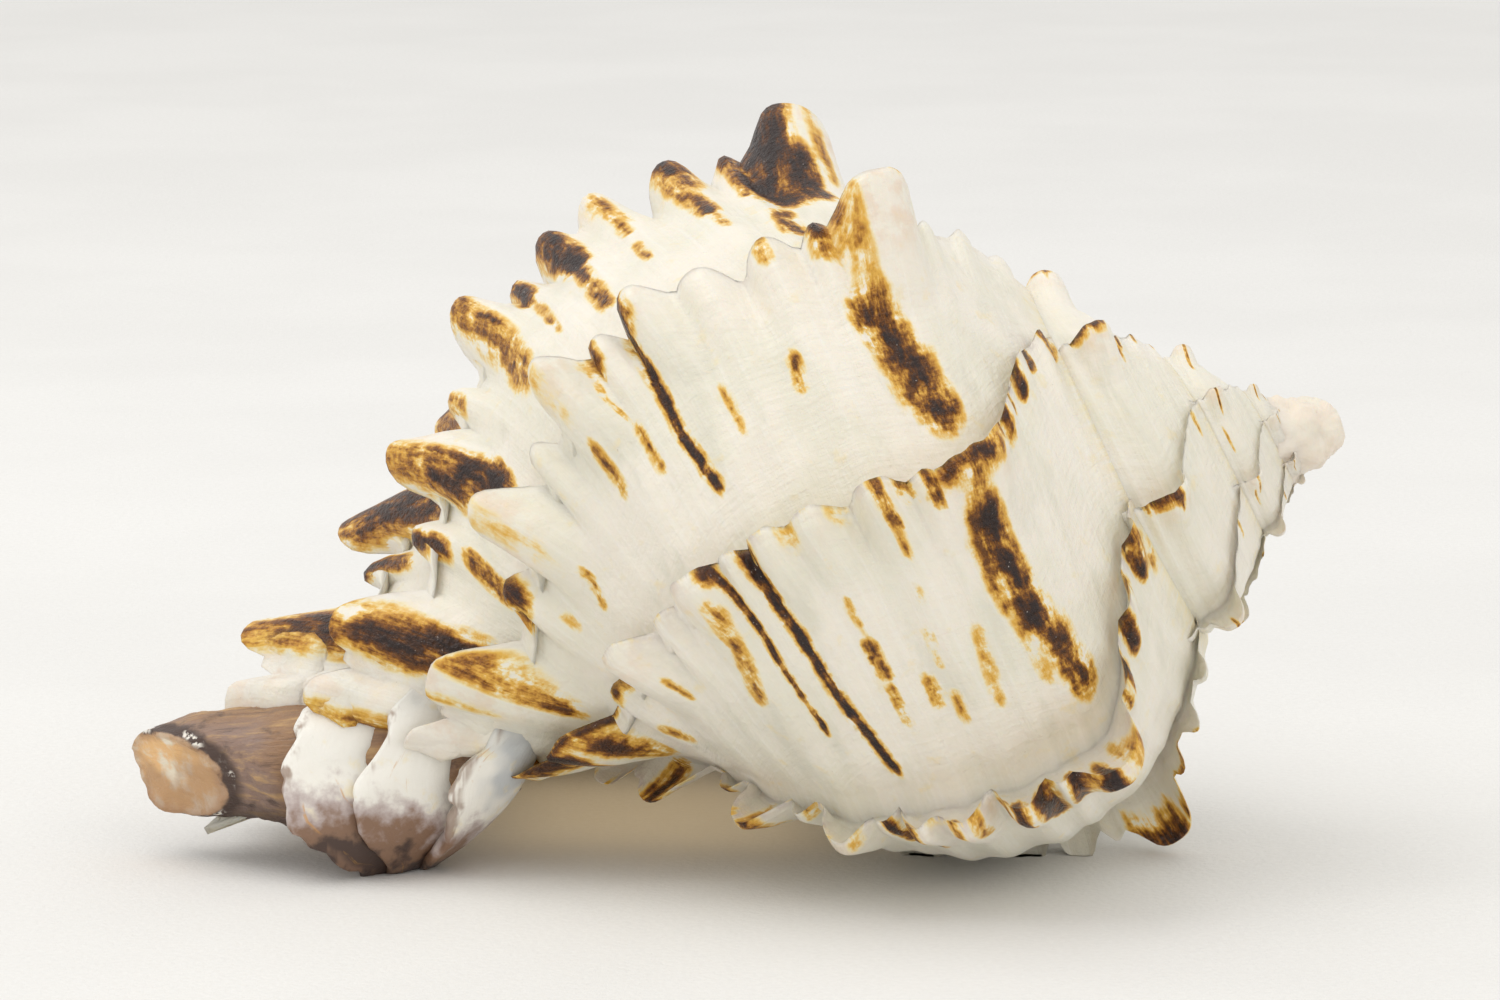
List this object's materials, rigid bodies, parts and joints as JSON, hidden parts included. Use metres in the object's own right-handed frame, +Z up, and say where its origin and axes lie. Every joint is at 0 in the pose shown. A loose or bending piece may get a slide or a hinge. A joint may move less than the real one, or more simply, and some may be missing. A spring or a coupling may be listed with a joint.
{
  "type": "murex shell",
  "caption": "Spiny murex sea shell, cream with brown bands, lying with its open mouth down on a canal flange and the edges of two lips.",
  "frame": {"origin": "centre of the bounding box, at the resting plane", "axes": "+X from the canal towards the spire, +Y away from the side that the picture shows, +Z up from the resting plane"},
  "size_m": [0.1159, 0.0875, 0.0698],
  "materials": {
    "shell": "satin"
  },
  "bodies": {
    "root": {"shell": "shell"}
  },
  "joints": []
}
